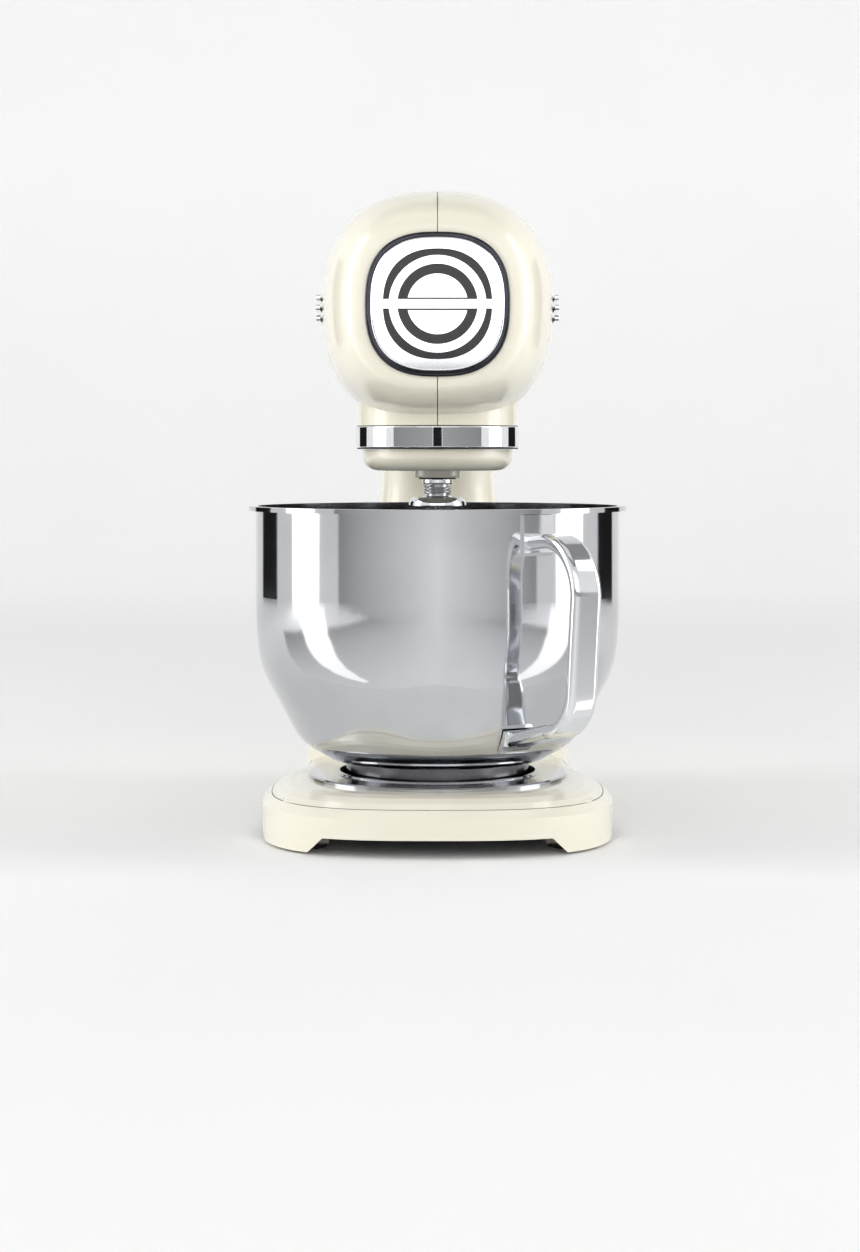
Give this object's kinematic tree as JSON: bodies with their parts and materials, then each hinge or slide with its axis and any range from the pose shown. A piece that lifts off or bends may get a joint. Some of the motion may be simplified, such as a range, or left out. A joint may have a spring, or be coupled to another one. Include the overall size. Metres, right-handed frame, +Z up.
{
  "type": "stand mixer",
  "caption": "Tilt-head stand mixer: rounded cream head on a flared column and footed base, planetary hub with a wire whisk, and a polished twist-lock bowl with a strap handle.",
  "frame": {"origin": "middle of the bounding box on the worktop", "axes": "+Z up, the front with the cap and the bowl faces -Y, +X to the right seen from the front"},
  "size_m": [0.2212, 0.4055, 0.3738],
  "materials": {
    "cream_enamel": "gloss",
    "cream_plastic": "gloss",
    "polished_steel": "polished stainless steel",
    "chrome": "polished",
    "black_rubber": "matte",
    "dark_plastic": "matte",
    "circuit_board": "satin",
    "bronze": "satin",
    "cast_aluminium": "cast",
    "machined_steel": "machined"
  },
  "bodies": {
    "stand": {"stand_casting": "cream_enamel", "bottom_cover": "dark_plastic", "base_screws": "machined_steel", "rubber_feet": "black_rubber", "bowl_seat": "polished_steel", "hinge_pin": "machined_steel", "hinge_caps": "cream_plastic", "button_bezel": "chrome", "pawl_pin": "machined_steel", "cord_gland": "black_rubber", "button_spring": "machined_steel"},
    "release_button": {"release_button": "chrome"},
    "latch_pawl": {"latch_pawl": "machined_steel"},
    "bowl": {"bowl": "polished_steel", "bowl_foot": "polished_steel", "bowl_handle": "polished_steel"},
    "head": {"head_shell_right": "cream_enamel", "head_shell_left": "cream_enamel", "tilt_knuckle": "cream_enamel", "hinge_bushes": "bronze", "chassis_plate": "cast_aluminium", "chassis_screws": "machined_steel", "drive_housing": "cast_aluminium", "shaft_bearings": "machined_steel", "ring_gear": "machined_steel", "hub_band": "chrome", "motor_mount": "cast_aluminium", "motor_can": "machined_steel", "motor_end_cover": "cast_aluminium", "stator_core": "machined_steel", "motor_bearings": "bronze", "drive_belt": "black_rubber", "pinion_bearing": "machined_steel", "control_board": "circuit_board", "nose_bezel": "chrome", "accessory_socket": "cast_aluminium", "side_trim_right": "chrome", "side_trim_left": "chrome", "lever_bracket": "machined_steel", "lever_pin": "machined_steel", "shell_studs": "machined_steel"},
    "motor": {"motor_rotor": "machined_steel", "motor_pulley": "machined_steel"},
    "belt_shaft": {"drive_pinion": "machined_steel", "belt_wheel": "machined_steel"},
    "hub": {"hub_cup": "cream_enamel", "hub_shaft": "machined_steel", "main_gear": "machined_steel", "spindle_bearings": "machined_steel", "spindle_seal": "black_rubber"},
    "spindle": {"spindle": "machined_steel", "planet_pinion": "machined_steel", "spindle_pin": "machined_steel", "spindle_collar": "chrome", "tool_spring": "machined_steel", "whisk_cap": "polished_steel", "whisk_wires": "polished_steel"},
    "speed_lever": {"speed_lever": "chrome"},
    "front_cap": {"front_cap": "chrome"}
  },
  "joints": [
    {"name": "head_tilt", "type": "hinge", "parent": "stand", "child": "head", "pos_m": [0, 0.0962, 0.224], "axis": [-1, 0, 0], "range_deg": [0, 40]},
    {"name": "hub_spin", "type": "hinge", "parent": "head", "child": "hub", "pos_m": [0, -0.0658, 0.22], "axis": [0, 0, 1], "continuous": true},
    {"name": "spindle_spin", "type": "hinge", "parent": "hub", "child": "spindle", "pos_m": [0, -0.0383, 0.2], "axis": [0, 0, 1], "continuous": true},
    {"name": "belt_shaft_spin", "type": "hinge", "parent": "head", "child": "belt_shaft", "pos_m": [0, -0.01893, 0.268], "axis": [0, 0, 1], "continuous": true},
    {"name": "motor_spin", "type": "hinge", "parent": "head", "child": "motor", "pos_m": [0, 0.0522, 0.3], "axis": [0, 0, 1], "continuous": true},
    {"name": "speed_lever_turn", "type": "hinge", "parent": "head", "child": "speed_lever", "pos_m": [0, 0.1182, 0.314], "axis": [1, 0, 0], "range_deg": [0, 40]},
    {"name": "front_cap_pull", "type": "slide", "parent": "head", "child": "front_cap", "axis": [0, -1, 0], "range_m": [0, 0.26]},
    {"name": "button_press", "type": "slide", "parent": "stand", "child": "release_button", "axis": [0, -1, 0], "range_m": [0, 0.003], "stiffness_N_per_m": 600, "deforming": ["button_spring"]},
    {"name": "latch_pawl_turn", "type": "hinge", "parent": "stand", "child": "latch_pawl", "pos_m": [0, 0.0922, 0.166], "axis": [-1, 0, 0], "range_deg": [0, 12]},
    {"name": "bowl_twist", "type": "hinge", "parent": "stand", "child": "bowl", "pos_m": [0, -0.0658, 0.034], "axis": [0, 0, 1], "range_deg": [0, 30]}
  ],
  "couplings": [
    {"joint": "spindle_spin", "follows": "hub_spin", "ratio": -3.2},
    {"joint": "belt_shaft_spin", "follows": "hub_spin", "ratio": -4},
    {"joint": "motor_spin", "follows": "hub_spin", "ratio": -12},
    {"joint": "latch_pawl_turn", "follows": "button_press", "rad_per_m": 62.5}
  ]
}
